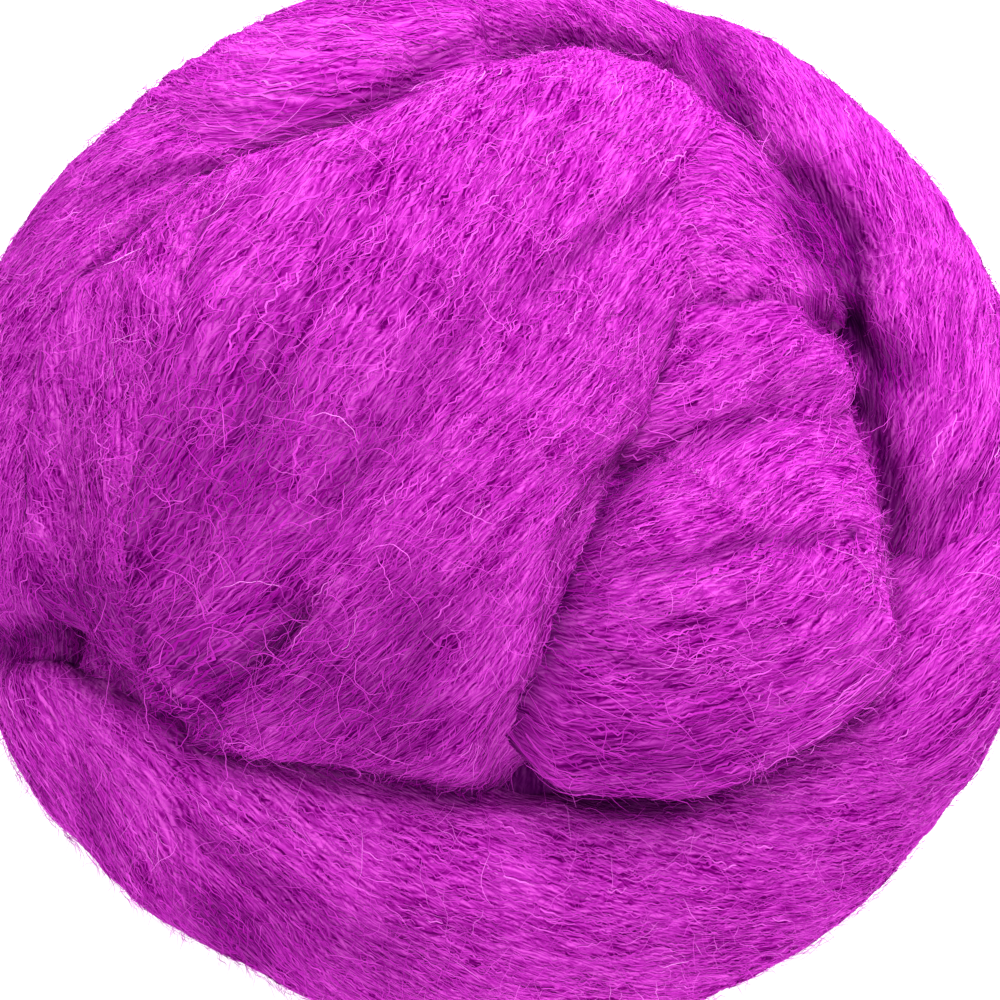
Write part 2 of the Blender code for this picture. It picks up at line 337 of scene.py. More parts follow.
# Locks of fibre lie along a turn as low rounded ridges with sharp valleys between them.
locks = {
    "across": (3, 4.2, 6, 8.5, 12),  # mm from ridge to ridge
    "along": (50, 140),  # mm
    "broadFrom": 7,  # mm
    "ridge": 0.4,  # height over the plain skin, in depths of a broad valley
    "fineDepth": 0.7,
    "fineSharpness": 1.3,
    "broadSharpness": 1.1,
    "sideDepth": 0.35,  # they flatten towards the sides of a turn
}
lockWaves = []
for width in locks["across"] * 3:
    length = chance.uniform(*locks["along"]) * chance.choice([-1, 1])
    size = (width / locks["across"][-1]) ** 0.6
    lockWaves.append((2 * pi / width / mm, 2 * pi / length / mm, size, width))
phaseSets = 97
lockPhases = chance.uniform(0, 2 * pi, (phaseSets, len(lockWaves)))


def lockHeight(turn, around, along, shift):
    patch = patchAt(turn, along, shift)
    across, forward = fibreGrid(turn, around, along, patch, shift)
    keep = patch.astype(int) % turn["patches"] if turn["closed"] else patch.astype(int)
    phases = lockPhases[(keep * 2 + (shift > 0) + turn["number"] * 11) % phaseSets]
    fine, broad = 0.0, 0.0  # sums whose zeros are the valleys
    for index, (acrossRate, forwardRate, size, width) in enumerate(lockWaves):
        wave = size * np.cos(acrossRate * across + forwardRate * forward + phases[..., index])
        if width < locks["broadFrom"]:
            fine = fine + wave
        else:
            broad = broad + wave
    fine = locks["fineDepth"] * np.exp(-(fine * locks["fineSharpness"]) ** 2)
    return locks["ridge"] - np.maximum(fine, np.exp(-(broad * locks["broadSharpness"]) ** 2))


def relief(turn, around, along):
    around, along = np.broadcast_arrays(around, along)
    if "grooves" not in turn:  # while its creases are not yet known
        return np.zeros(around.shape)
    share = patchShare(turn, along)
    share = share * share * (3 - 2 * share)
    height = lockHeight(turn, around, along, 0.0) * share
    height = (height + lockHeight(turn, around, along, 0.5) * (1 - share)) * turn["lockDepth"] * mm
    flat = locks["sideDepth"]
    height = height * (flat + (1 - flat) * np.abs(np.sin(2 * pi * around)))
    return height - readSurvey(turn, turn["grooves"], around, along)


def skinPoint(turn, around, along, rise=0.0):
    points = plainPoint(turn, around, along, relief(turn, around, along) + rise)
    return settle(points, turn["floorGap"] * mm)


# A survey of a turn is an even grid of places over its outer side.
survey = {"step": 1.0 * mm, "around": (-0.07, 0.57)}


def surveyPlaces(turn, step):
    low, high = survey["around"]
    around = np.linspace(low, high, max(8, round((high - low) * turn["girth"] / step)))
    along = np.linspace(0, 1, max(8, round(turn["length"] / step)))
    return np.meshgrid(around, along, indexing="ij")


def readSurvey(turn, grid, around, along):
    low, high = survey["around"]
    column = np.clip((nearOuter(around) - low) / (high - low), 0, 1) * (grid.shape[0] - 1)
    row = wrapped(turn, along) * (grid.shape[1] - 1)
    firstColumn = np.minimum(column.astype(int), grid.shape[0] - 2)
    firstRow = np.minimum(row.astype(int), grid.shape[1] - 2)
    x, y = column - firstColumn, row - firstRow
    near = grid[firstColumn, firstRow] * (1 - y) + grid[firstColumn, firstRow + 1] * y
    far = grid[firstColumn + 1, firstRow] * (1 - y) + grid[firstColumn + 1, firstRow + 1] * y
    return near * (1 - x) + far * x


def outwardAt(turn, around, along):  # points on the skin and the way that it faces
    here = skinPoint(turn, around, along)
    aside = skinPoint(turn, around + smallStep / turn["girth"], along) - here
    ahead = skinPoint(turn, around, along + smallStep / turn["length"]) - here
    return here, unit(np.cross(aside, ahead)) * turn["facing"]


def roughTree(some, step):  # the plain skins of some turns, as one search tree
    points, faces, start = [], [], 0
    for turn in some:
        columns = max(12, round(turn["girth"] / step))
        rows = max(12, round(turn["length"] / step))
        shares = np.linspace(0, 1, columns + 1), np.linspace(0, 1, rows + 1)
        around, along = np.meshgrid(*shares, indexing="ij")
        points.append(skinPoint(turn, around.ravel(), np.clip(along.ravel(), 1e-6, 1 - 1e-6)))
        index = start + np.arange(around.size).reshape(around.shape)
        quads = np.stack([index[:-1, :-1], index[1:, :-1], index[1:, 1:], index[:-1, 1:]], axis=-1)
        faces.append(quads.reshape(-1, 4)[:, ::turn["facing"]])
        start += around.size
    return BVHTree.FromPolygons(np.concatenate(points).tolist(), np.concatenate(faces).tolist())


# Folds are the furrows, hollows and low ridges between the locks on top. Each is a path of places
# seen from above, then its width and depth, all in mm, and how dark its painted shade is, or below
# zero how bright its painted light is.
folds = [
    # back turn against the broad one
    ([(-29, 36), (-24, 37), (-18, 40), (-12, 45), (-7, 50), (-1, 54), (6, 55)], 1.5, 2.4, 0.55),
    ([(-52, 32), (-46, 34), (-40, 35), (-33, 35), (-27, 36), (-21, 39)], 1.2, 1.7, 0.5),
    ([(-38, 31), (-43, 28), (-48, 23), (-51, 21)], 1.2, 1.8, 0.5),
    ([(-10, 56), (-20, 52), (-30, 51), (-39, 49)], 1.4, 0.7, 0.1),
    ([(-25, 43), (-33, 42), (-44, 42)], 1.3, 0.6, 0.1),
    # broad turn
    ([(27, 36), (24, 30), (19, 27), (14, 23), (10, 19), (5, 15), (1, 12)], 1.2, 1.9, 0.45),
    ([(1, 14), (-6, 7), (-10, 3), (-15, -3), (-20, -9)], 1.7, 0.7, 0.3),
    ([(-12, 4), (-18, -5), (-22, -11), (-26, -17)], 3.0, 1.1, 0.6),
    ([(-20, 22), (-23, 16), (-25, 11)], 1.2, 0.9, 0.15),
    ([(-24, 11), (-27, 6), (-30, 1), (-32, -4)], 1.2, 1.1, 0.2),
    ([(-32, 25), (-34, 18), (-35, 11)], 1.2, 0.8, 0.15),
    ([(-24, 12), (-28, 0), (-31, -9), (-34, -17)], 4.5, 0.6, 0.75),
    ([(-20, -7), (-25, -15), (-28, -22), (-32, -30)], 1.9, 0.8, 0.65),
    ([(-23, -23), (-27, -26), (-31, -30), (-35, -34)], 1.5, 4.2, 1.1),
    ([(-3, -23), (-8, -28), (-11, -32)], 1.3, 0.8, 0.2),
    ([(-6, -33), (-10, -38), (-12, -41)], 1.2, 0.9, 0.3),
    ([(-7, 10), (-15, -3), (-22, -14), (-26, -20)], 4.5, 2.0, 0.3),
    ([(-38, -22), (-28, -29), (-19, -34), (-9, -37), (-3, -37)], 6, 1.0, 0.62),
    ([(-12, -20), (-10, -27), (-8, -33)], 4, 0.4, 0.65),
    ([(8, -21), (5, -27), (2, -33), (-3, -40)], 1.7, -1, 0),
    # rolled ridge
    ([(-38, -30), (-37, -27), (-34, -25), (-30, -25)], 1.2, -1.8, 0),
    ([(-36, -26), (-34, -31), (-31, -35)], 1.1, -1.5, 0),
    # left side
    ([(-35, -12), (-36, -18), (-36, -23)], 1.3, 1.2, 0.4),
    ([(-34, 8), (-36, -3), (-38, -13), (-40, -24)], 3.4, 0.9, 0.62),
    ([(-62, -14), (-54, -19), (-46, -21), (-39, -26)], 4.0, 0.5, 0.8),
    ([(-57, 14), (-58, 11), (-57, 6)], 1.4, 1.2, 0.3),
    ([(-54, -3), (-53, -9), (-52, -17)], 1.6, 1.3, 0.3),
    ([(-48, -4), (-47, -10), (-48, -15)], 1.2, 0.8, 0.2),
    ([(-55, 9), (-54, -5), (-52, -16)], 4, 1.4, 0.1),
    ([(-60, -17), (-57, -21), (-53, -23), (-50, -25)], 1.8, 2.5, 0.6),
    ([(-45, -26), (-41, -28), (-39, -30)], 1.5, 1.6, 0.5),
    ([(-54, -25), (-44, -31), (-36, -38), (-26, -42)], 1.8, 0.5, 0.8),
    # lobes on the right
    ([(17, -7), (21, -4), (26, -2), (31, 0), (35, 3), (39, 5)], 1.3, 1.6, 0.4),
    ([(24, 14), (30, 14), (36, 15)], 1, 0.9, 0.25),
    ([(37, 15), (40, 15), (44, 14)], 2.2, 3, 0.8),
    ([(28, 31), (32, 31), (36, 30)], 0.9, 0.8, 0.2),
    ([(42, 8), (46, 7), (48, 2)], 2, -0.9, 0),
    ([(12, -19), (17, -19), (24, -18), (29, -16), (37, -15), (44, -13), (49, -11)], 1.0, 1.1, 0.6),
    ([(12, -23), (18, -25), (24, -26), (33, -24)], 1.1, 0.6, 0.25),
    ([(9, -28), (15, -30), (20, -33), (24, -34)], 1.1, 0.9, 0.45),
    ([(3, -39), (8, -40), (12, -43), (18, -44), (23, -43)], 1.2, 1.0, 0.35),
    ([(6, -37), (13, -42), (22, -42), (32, -38)], 4, 0.6, 0.5),
    # right side
    ([(36, 39), (40, 30), (42, 24), (43, 19)], 3.6, 2, 1.0),
    ([(44, 15), (48, 10), (50, 5)], 3.4, 2.2, 1.0),
    ([(51, -8), (53, -11), (51, -17)], 2.2, 2.5, 0.5),
    ([(53, -10), (57, -6), (62, -3)], 1.4, 2, 0.45),
    ([(51, 31), (54, 21), (54, 11)], 1.6, 0.9, 0.2),
    ([(58, 25), (58, 15), (56, 4)], 1.5, 0.8, 0.25),
    ([(38, 55), (45, 45), (50, 34)], 1.4, 0.6, 0.1),
    # front turn, where the rows below zero paint light along the turn
    ([(-34, -54), (-25, -59), (-15, -62), (-4, -64)], 3.5, 0.3, 0.45),
    ([(30, -57), (40, -51), (50, -42), (57, -30), (61, -14)], 4.5, 0, -0.6),
    ([(-61, -29), (-50, -39), (-38, -46)], 3, 0, -0.7),
    ([(-34, -43), (-14, -50), (0, -52), (14, -54), (28, -53), (40, -47), (50, -36)], 3.6, -0.9, -0.9),
    ([(-56, -28), (-54, -36), (-51, -43), (-47, -49)], 2.0, 1.8, 0.8),
    ([(-41, -52), (-35, -57), (-31, -60), (-26, -62)], 2.4, 0.8, 0.75),
    ([(-51, -36), (-44, -42), (-36, -48), (-28, -54), (-20, -59), (-11, -63)], 1.8, 1.3, 0.6),
    ([(-12, -47), (-7, -48)], 1.2, 0.8, 0.2),
    ([(-41, -43), (-35, -46)], 1.2, 0.8, 0.2),
    ([(-15, -54), (-10, -56), (-6, -58), (1, -61)], 1.2, 0.9, 0.15),
    ([(-2, -49), (8, -50), (17, -51)], 1.2, 0.6, 0.1),
    ([(8, -56), (17, -57), (27, -56)], 1.2, 0.6, 0.1),
    ([(36, -51), (44, -48), (51, -45)], 1.4, 1.1, 0.25),
    ([(42, -44), (50, -42), (58, -39)], 1.3, 1.4, 0.35),
    ([(24, -62), (31, -59), (38, -55)], 1.4, 0.5, 0.3),
]
foldForm = {"above": 20 * mm, "ends": (0.04, 0.96)}  # only on top, and how its ends fade


# depth, painted shade and painted light of all folds at some points
def foldsAt(points):
    depth, shade, light = np.zeros((3, len(points)))
    plan = points[:, :2] / mm
    for path, width, deep, dark in folds:
        nearest, share = np.full(len(points), 99.0), np.zeros(len(points))
        for index, (start, end) in enumerate(zip(path, path[1:])):
            run = np.subtract(end, start)
            off = plan - start
            part = np.clip(off @ run / (run @ run), 0, 1)
            gap = np.hypot(*(off - part[:, None] * run).T)
            share = np.where(gap < nearest, (index + part) / (len(path) - 1), share)
            nearest = np.minimum(gap, nearest)
        profile = np.exp(-(nearest / width) ** 2 / 2)
        profile = profile * np.sin(pi * np.clip(share, *foldForm["ends"])) ** 0.5
        profile = profile * (points[:, 2] > foldForm["above"])
        depth += deep * mm * profile
        shade = np.maximum(shade, dark * profile)
        light = np.minimum(light, dark * profile)
    return depth, shade, light


# Where two turns meet they round off into a deep narrow crease or felt into one another, with a
# wide fillet in mm. Some pairs have a share of the usual crease.
creases = {
    "depth": 3.2,
    "width": 1.9,  # to each side
    "reach": 9.0,
    # painted shade along a crease, where hairs across it keep the light out: width and strength
    "shades": [(1.8, 1.0), (5.0, 0.4)],
    "crossing": (0.99, 0.15),  # skins that run closer to one way than this do not crease
}
fillets = {
    ("broadTurn", "leftLobe"): 20, ("leftRing", "leftLobe"): 12, ("backRing", "leftRing"): 10,
    ("backRing", "leftLobe"): 6, ("broadTurn", "upperLobe"): 7, ("broadTurn", "valleyLobe"): 3.5,
    ("upperLobe", "valleyLobe"): 10, ("valleyLobe", "rightLobe"): 3, ("frontRing", "rightRing"): 4,
}
deepCreases = {
    ("rightRing", "upperLobe"): 1.0, ("rightRing", "valleyLobe"): 1.1,
    ("frontRing", "broadTurn"): 0.6, ("frontRing", "rightLobe"): 0.52,
    ("broadTurn", "rolledEdge"): 0.45, ("leftLobe", "rolledEdge"): 0.9,
}
# The first turn of each pair lies over the second, so its own side of the crease gets only overShare
# of the painted shade.
over = {
    ("frontRing", "broadTurn"), ("frontRing", "rightLobe"), ("frontRing", "leftLobe"),
    ("frontRing", "rolledEdge"), ("broadTurn", "rightLobe"), ("broadTurn", "backRing"),
    ("frontRing", "rightRing"),
}
overShare = 0.12


def pairValue(pairs, turn, other, usual):
    first, second = turn["name"], other["name"]
    return pairs.get((first, second), pairs.get((second, first), usual))


def softened(grid, closed):
    for _ in range(2):
        grid = np.pad(grid, ((1, 1), (0, 0)), "edge")
        grid = (grid[:-2] + 2 * grid[1:-1] + grid[2:]) / 4
        grid = np.pad(grid, ((0, 0), (1, 1)), "wrap" if closed else "edge")
        grid = (grid[:, :-2] + 2 * grid[:, 1:-1] + grid[:, 2:]) / 4
    return grid


def surveyCreases(turn):
    around, along = surveyPlaces(turn, survey["step"])
    points, outward = outwardAt(turn, around.ravel(), along.ravel())
    groups = {}
    for other in turns:
        if other is not turn:
            fillet = pairValue(fillets, turn, other, 0)
            deeper = pairValue(deepCreases, turn, other, 1)
            lit = overShare if (turn["name"], other["name"]) in over else 1
            groups.setdefault((fillet, deeper, lit), []).append(other)
    depth, rise = np.zeros((2, len(points)))
    folded, shade, light = foldsAt(points)
    for (fillet, deeper, lit), others in groups.items():
        tree = roughTree(others, 2 * mm)
        reach = (fillet or creases["reach"]) * mm
        gap = np.full(len(points), reach)
        facing = np.ones(len(points))
        for index, (point, way) in enumerate(zip(points, outward)):
            found, normal, _, distance = tree.find_nearest(Vector(point), reach)
            if distance is not None:
                gap[index] = distance if normal.dot(Vector(point) - found) > 0 else -distance
                facing[index] = normal.dot(Vector(way))
        most, fade = creases["crossing"]
        crossing = np.clip((most - np.abs(facing)) / fade, 0, 1)
        if fillet:
            spread, left = 1 - facing + 1e-3, reach - np.maximum(gap, 0)
            closing = 2 * spread * left
            half = 4 * reach - closing
            filled = (half - np.sqrt(np.maximum(half**2 - closing**2, 0))) / (2 * spread**2)
            filled = np.minimum(filled, reach / 4) * np.clip(1 + gap / reach, 0, 1)
            rise = np.maximum(rise, filled * crossing)
        else:
            width = creases["width"] * deeper * mm
            cut = creases["depth"] * deeper * mm * np.exp(-(gap / width) ** 2) * crossing
            depth = np.maximum(depth, cut)
            for shadeWidth, strength in creases["shades"]:
                dark = np.exp(-(gap / (shadeWidth * mm)) ** 2) * crossing * strength * lit
                shade = np.maximum(shade, dark)
    thin = np.minimum(1, turn["rows"][:, 5].min() / (20 * mm))
    change = (depth * thin - rise).reshape(around.shape)
    turn["newGrooves"] = softened(change, turn["closed"]) + folded.reshape(around.shape)
    # painted shade of creases and folds, less the painted light of some folds
    turn["creaseShade"] = (shade + light).reshape(around.shape)


openness = {
    "step": 2.4 * mm,
    "rays": 18,
    "reach": 28 * mm,
    "start": 0.5 * mm,  # over the skin
    "cover": (0.6 * mm, 100 * mm),  # where a ray that finds what hides a place starts and ends
    "around": (-0.03, 0.53),  # where fibres grow
    "crossWay": (0.31, 0.17, 0.93),  # any direction that no place faces
    "topFrom": 0.6,  # fibres thin out where the skin faces up less than this
    "sideShare": 0.4,
    "rim": (0.2, 0.3),  # how far a rim faces up, and its spread
}


def surveyOpenness(turn, tree):  # how much of the sky each place sees, from 0 to 1
    around, along = surveyPlaces(turn, openness["step"])
    points, outward = outwardAt(turn, around.ravel(), along.ravel())
    start = points + outward * openness["start"]
    fromCentre = unit(points - centre)
    seen = np.zeros(len(points))
    spiral = np.arange(openness["rays"]) + 0.5
    rise = np.sqrt(1 - spiral / openness["rays"])
    bearing = spiral * pi * (3 - 5**0.5)
    aside = unit(np.cross(outward, openness["crossWay"]))
    other = np.cross(outward, aside)
    flat = np.sqrt(1 - rise**2)
    for ray in range(openness["rays"]):
        level = aside * np.cos(bearing[ray]) + other * np.sin(bearing[ray])
        way = outward * rise[ray] + level * flat[ray]
        for index in range(len(points)):
            hit = tree.ray_cast(Vector(start[index]), Vector(way[index]), openness["reach"])[3]
            seen[index] += 1 if hit is None else (hit / openness["reach"]) ** 1.5
    gap, far = openness["cover"]
    covered = np.array([
        tree.ray_cast(Vector(point + way * gap), Vector(way), far)[0] is not None
        for point, way in zip(points, fromCentre)
    ])
    turn["openness"] = (seen / openness["rays"]).reshape(around.shape)
    low, high = openness["around"]
    isOpen = ~covered & (around.ravel() > low) & (around.ravel() < high)
    turn["openPlaces"] = around.ravel()[isOpen], along.ravel()[isOpen]
    upward = np.clip(outward[isOpen, 2] / openness["topFrom"] + 0.4, 0, 1)
    upward = openness["sideShare"] + (1 - openness["sideShare"]) * upward
    weights = np.interp(turn["openPlaces"][1], *turn["fullness"]) * upward
    turn["openWeights"] = weights / max(weights.sum(), 1e-9)
    level, spread = openness["rim"]
    rim = np.exp(-((outward[isOpen, 2] - level) / spread) ** 2) + 1e-6
    turn["rimWeights"] = rim / rim.sum()
    turn["rimShare"] = rim.mean() if isOpen.any() else 0
    turn["openCell"] = (around[1, 0] - around[0, 0]), (along[0, 1] - along[0, 0])
    cell = turn["openCell"][0] * turn["girth"] * turn["openCell"][1] * turn["length"]
    turn["openArea"] = weights.sum() * cell


# How far painted shade darkens a place, from its openness to the sky and its crease
paintedShading = {"darkFrom": 0.1, "lightFrom": 0.7, "creaseShare": 0.8}


def paintedShadeAt(turn, around, along):  # painted shade: 1 in the open, towards 0 deep in a crease, and the painted light of a fold lifts it back towards 1
    dark, light = paintedShading["darkFrom"], paintedShading["lightFrom"]
    shade = readSurvey(turn, turn["openness"], around, along)
    shade = np.clip((shade - dark) / (light - dark), 0, 1)
    crease = readSurvey(turn, turn["creaseShade"], around, along)
    return np.clip(shade * (1 - paintedShading["creaseShare"] * crease), 0, 1)


def addObject(name, data):
    made = bpy.data.objects.new(name, data)
    bpy.context.scene.collection.objects.link(made)
    return made


def fromBmesh(mesh, name):
    data = bpy.data.meshes.new(name)
    mesh.to_mesh(data)
    mesh.free()
    return data


def addPiece(data, material):
    piece = addObject(data.name, data)
    data.materials.append(material)
    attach(piece, "root")
    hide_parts("roving_ball")
    return piece


def meshOf(points, faces, name):  # joined small shapes, straight from arrays
    data = bpy.data.meshes.new(name)
    data.vertices.add(len(points))
    data.vertices.foreach_set("co", points.astype(np.float32).ravel())
    data.loops.add(faces.size)
    data.loops.foreach_set("vertex_index", faces.astype(np.int32).ravel())
    data.polygons.add(len(faces))
    starts = np.arange(0, faces.size, faces.shape[1], dtype=np.int32)
    data.polygons.foreach_set("loop_start", starts)
    data.update(calc_edges=True)
    data.polygons.foreach_set("use_smooth", np.ones(len(faces), dtype=bool))
    return data


def addMap(data, name, values):  # values for each face corner
    layer = data.uv_layers.new(name=name, do_init=False)
    layer.uv.foreach_set("vector", values.astype(np.float32).ravel())


def shape(mesh, points):
    for vertex, point in zip(mesh.verts, points):
        vertex.co = point
    for face in mesh.faces:
        face.smooth = True


def placesOf(data):  # around and along for each face corner
    places = np.empty(len(data.loops) * 2, dtype=np.float32)
    data.uv_layers["OFBake"].uv.foreach_get("vector", places)
    return places.reshape(-1, 2)


def makeSkin(turn, material):
    outer = max(8, round(turn["girth"] / 2 / nest["outerCell"]))
    inner = max(6, round(turn["girth"] / 2 / nest["innerCell"]))
    steps = max(12, round(turn["length"] / nest["outerCell"] / 1.2))
    mesh = bmesh.new()
    placeLayer = mesh.loops.layers.uv.new("OFBake")
    bmesh.ops.create_grid(mesh, x_segments=outer + inner, y_segments=steps, size=1.0)
    grid = np.array([vertex.co for vertex in mesh.verts])
    column = (grid[:, 0] + 1) / 2 * (outer + inner)
    around = np.where(column < outer, column / outer / 2, 0.5 + (column - outer) / inner / 2)
    along = (grid[:, 1] + 1) / 2
    shape(mesh, skinPoint(turn, around, np.clip(along, 1e-6, 1 - 1e-6)))
    mesh.verts.index_update()
    for face in mesh.faces:
        for loop in face.loops:
            index = loop.vert.index
            loop[placeLayer].uv = around[index], along[index]
    bmesh.ops.remove_doubles(mesh, verts=mesh.verts, dist=0.02 * mm)
    if turn["facing"] < 0:
        bmesh.ops.reverse_faces(mesh, faces=mesh.faces)
    return addPiece(fromBmesh(mesh, turn["name"]), material)


# Shifts in mm that give each turn, patch and set of patches its own part of the pattern
patternShift = {"turn": (53.0, 7.3), "patch": 31.7, "set": 11}


def mapSkin(turn, data):  # the fibres' grid in mm, and the painted shade of each place
    around, along = placesOf(data).astype(float).T
    sizes = np.empty(len(data.polygons), dtype=np.int32)
    data.polygons.foreach_get("loop_total", sizes)
    face = np.repeat(np.arange(len(sizes)), sizes)
    middle = (np.bincount(face, along) / sizes)[face]
    for name, shift in (("fibreMap", 0.0), ("secondFibreMap", 0.5)):
        patch = patchAt(turn, middle, shift)
        across, forward = fibreGrid(turn, around, along, patch, shift)
        moved = (patch % 29) * patternShift["patch"] + shift * patternShift["set"]
        across = across / mm * np.interp(along, *turn["fullness"])
        grid = np.stack([across, forward / mm + moved], axis=1)
        addMap(data, name, grid + np.array(patternShift["turn"]) * turn["number"])
    care = patchShare(turn, along), paintedShadeAt(turn, around, along)
    addMap(data, "patchAndShadeMap", np.stack(care, axis=1))


# a core shade of 0.15 gives the core mostly the painted shade colour
core = {"floorGap": 2 * mm, "patternSize": 180, "shade": 0.15}


def makeCore(material):  # what shows deep between the turns, mostly in the painted shade colour
    mesh = bmesh.new()
    mesh.loops.layers.uv.new("OFBake")
    bmesh.ops.create_uvsphere(mesh, u_segments=96, v_segments=48, radius=1.0, calc_uvs=True)
    directions = unit(np.array([vertex.co for vertex in mesh.verts]))
    depths = np.full(len(directions), -nest["coreDepth"])
    shape(mesh, settle(onEnvelope(directions, depths), core["floorGap"]))
    data = fromBmesh(mesh, "core")
    for name in ("fibreMap", "secondFibreMap"):
        addMap(data, name, placesOf(data) * core["patternSize"])
    addMap(data, "patchAndShadeMap", np.tile([1.0, core["shade"]], len(data.loops)))
    return addPiece(data, material)


# Materials
def linear(hexColour):
    values = [int(hexColour[start:start + 2], 16) / 255 for start in (0, 2, 4)]
    return [v / 12.92 if v <= 0.04045 else ((v + 0.055) / 1.055) ** 2.4 for v in values] + [1.0]


def addNode(tree, kind, inputs, **settings):
    made = tree.nodes.new("ShaderNode" + kind)
    for setting, value in settings.items():
        setattr(made, setting, value)
    for socket, value in inputs.items():
        if isinstance(value, bpy.types.NodeSocket):
            tree.links.new(value, made.inputs[socket])
        else:
            made.inputs[socket].default_value = value
    return made


def maths(tree, operation, *values):  # one sum with up to three values
    return addNode(tree, "Math", dict(enumerate(values)), operation=operation).outputs[0]


def uvMap(tree, name):
    return addNode(tree, "UVMap", {}, uv_map=name).outputs[0]


def fillRamp(ramp, stops):
    elements = ramp.color_ramp.elements
    while len(elements) < len(stops):
        elements.new(0.5)
    for element, (position, hexColour) in zip(elements, stops):
        element.position = position
        element.color = linear(hexColour)


combedWool = {
    # partly the dye's own tones along the fibre pattern; the dark end is painted shade in the gaps
    # between fibres, the pale end painted sheen on their tops
    "colours": [
        (0.0, "4e004c"), (0.28, "74086f"), (0.5, "8a1985"), (0.74, "a22b9c"), (1.0, "b742ae"),
    ],
    "paintedShadeColour": "24002c",  # painted shade, deep in a crease
    # single fibres, drawn coarser so that they show: degrees off the comb, mm across, mm along
    "fibres": [(0, 0.50, 5.0), (6, 0.54, 4.6), (-7, 0.58, 5.0)],
    "fibreContrast": 1.3,
    "meanTone": 0.53,  # place on the colours of the fibres' usual brightness, meanTop
    "meanTop": 0.91,
    # how fibres wind: mm across, mm along, mm deep
    "wander": [(1.8, 3.2, 0.6), (0.9, 0.9, 0.85)],
    # crimp that neighbours share: degrees, pitch in mm, its wander in mm across and along, strength
    "crimps": [(2, 0.66, 0.9, 7.0, 0.18), (9, 0.52, 0.8, 6.0, 0.17), (-8, 0.78, 1.0, 6.0, 0.16)],
    "crimpWander": 1.7,  # pitches
    # locks and whole strips of the roving: mm across, mm along, strength
    "streaks": [(0.8, 14, 0.2), (1.6, 26, 0.3), (3.2, 40, 0.42), (6.5, 60, 0.35)],
    "roughness": 0.9,
    "bump": 0.1,  # mm
    "specular": 0.0,
}
mattedWool = dict(
    combedWool, fibres=[(0, 0.6, 2.4), (30, 0.7, 2.2), (-38, 0.7, 2.4)],
    wander=[(1.8, 2.2, 1.3), (0.8, 0.8, 1.1)])
noiseShift = 70, 3.1  # keeps two noises of different size or turn apart


def stretchedNoise(tree, fibreMap, across, along, turnBy=0):  # a noise drawn out along the fibres
    turned = addNode(tree, "Mapping", {
        "Vector": fibreMap, "Rotation": (0, 0, radians(turnBy)),
        "Location": (across * noiseShift[0], turnBy * noiseShift[1], 0),
    }).outputs[0]
    drawn = {"Vector": turned, "Scale": (1 / across, 1 / along, 1)}
    vector = addNode(tree, "Mapping", drawn).outputs[0]
    settings = {"Vector": vector, "Scale": 1.0, "Detail": 0.0}
    return addNode(tree, "TexNoise", settings, noise_dimensions="2D").outputs[0]


def fibreTone(tree, mapName, look):  # 0 is the gap between two fibres, 1 is the top of one; on the colours the gaps take painted shade, the tops painted sheen
    fibreMap = uvMap(tree, mapName)  # mm across and along
    waved = fibreMap
    for across, along, depth in look["wander"]:
        wander = stretchedNoise(tree, fibreMap, across, along)
        aside = addNode(tree, "CombineXYZ", {0: maths(tree, "MULTIPLY", wander, depth)}).outputs[0]
        waved = addNode(tree, "VectorMath", {0: waved, 1: aside}, operation="ADD").outputs[0]
    top = 0.0
    for turnBy, across, along in look["fibres"]:  # a bright line where the noise crosses its middle
        noise = stretchedNoise(tree, waved, across, along, turnBy)
        off = maths(tree, "ABSOLUTE", maths(tree, "MULTIPLY_ADD", noise, 2.0, -1.0))
        top = maths(tree, "MAXIMUM", maths(tree, "SUBTRACT", 1.0, off), top)
    contrast = look["fibreContrast"]
    evenTone = look["meanTone"] - look["meanTop"] * contrast
    tone = maths(tree, "MULTIPLY_ADD", top, contrast, evenTone)
    for turnBy, pitch, across, along, strength in look["crimps"]:
        rotation = {"Vector": fibreMap, "Rotation": (0, 0, radians(turnBy))}
        turned = addNode(tree, "Mapping", rotation).outputs[0]
        aside = addNode(tree, "SeparateXYZ", {0: turned}).outputs[0]
        noise = stretchedNoise(tree, fibreMap, across, along, turnBy + 5)
        phase = maths(tree, "MULTIPLY_ADD", noise, look["crimpWander"] * 2 * pi, turnBy)
        phase = maths(tree, "MULTIPLY_ADD", aside, 2 * pi / pitch, phase)
        tone = maths(tree, "MULTIPLY_ADD", maths(tree, "SINE", phase), strength, tone)
    for across, along, strength in look["streaks"]:
        noise = stretchedNoise(tree, waved, across, along)
        tone = maths(tree, "MULTIPLY_ADD", maths(tree, "SUBTRACT", noise, 0.5), strength, tone)
    return tone


def makeMaterial(name, look, paint):
    material = bpy.data.materials.new(name)
    material.use_nodes = True
    tree = material.node_tree
    tree.nodes.clear()
    shader = addNode(tree, "BsdfPrincipled", {
        **paint(tree, look), "Roughness": look["roughness"], "Specular IOR Level": look["specular"],
    })
    addNode(tree, "OutputMaterial", {0: shader.outputs[0]})
    return material


